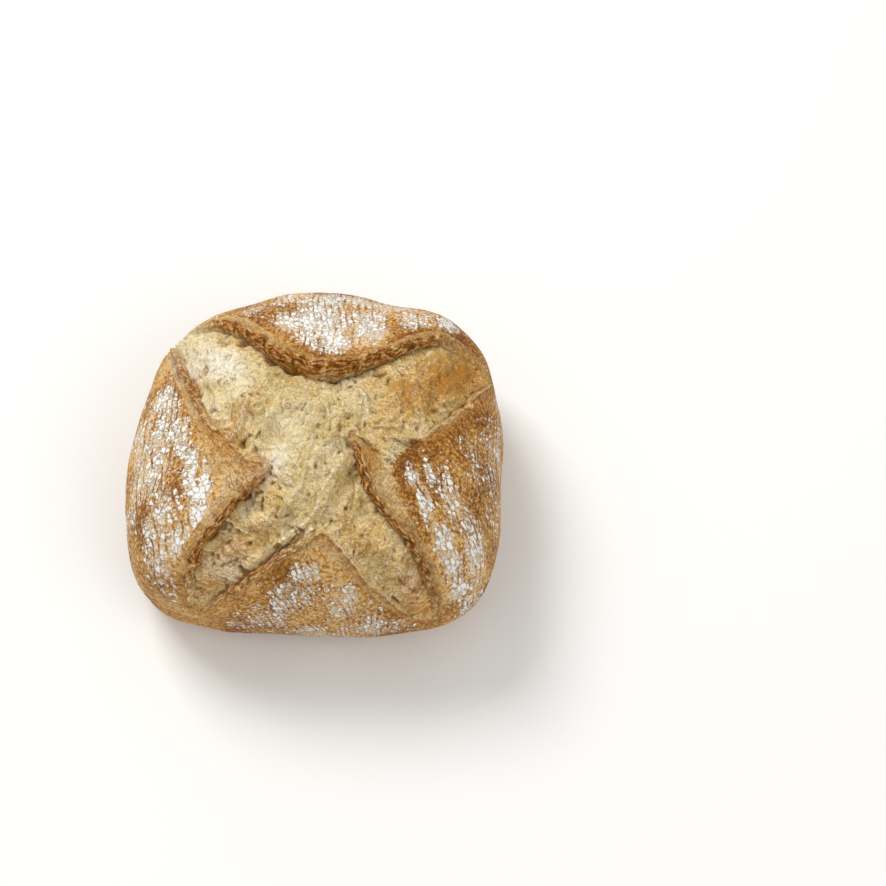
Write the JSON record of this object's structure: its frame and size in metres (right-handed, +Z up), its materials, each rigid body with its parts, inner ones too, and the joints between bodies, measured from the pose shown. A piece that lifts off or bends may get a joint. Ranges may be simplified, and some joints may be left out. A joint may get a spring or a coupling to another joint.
{
  "type": "bread roll",
  "caption": "Rustic wheat roll with a flat base, its floured crust torn open along a cross cut into petals round pale crumb.",
  "frame": {"origin": "centre of the roll's bounding box, on the surface that its flat base rests on", "axes": "+Z up out of the base, +Y towards the widest petal of crust, behind the cross in the picture, +X to the right in the picture"},
  "size_m": [0.1002, 0.093, 0.0562],
  "materials": {
    "baked_bread": "matt browned wheat crust dusted with flour, with pale torn crumb in the cross"
  },
  "bodies": {
    "root": {"bread_roll": "baked_bread"}
  },
  "joints": []
}
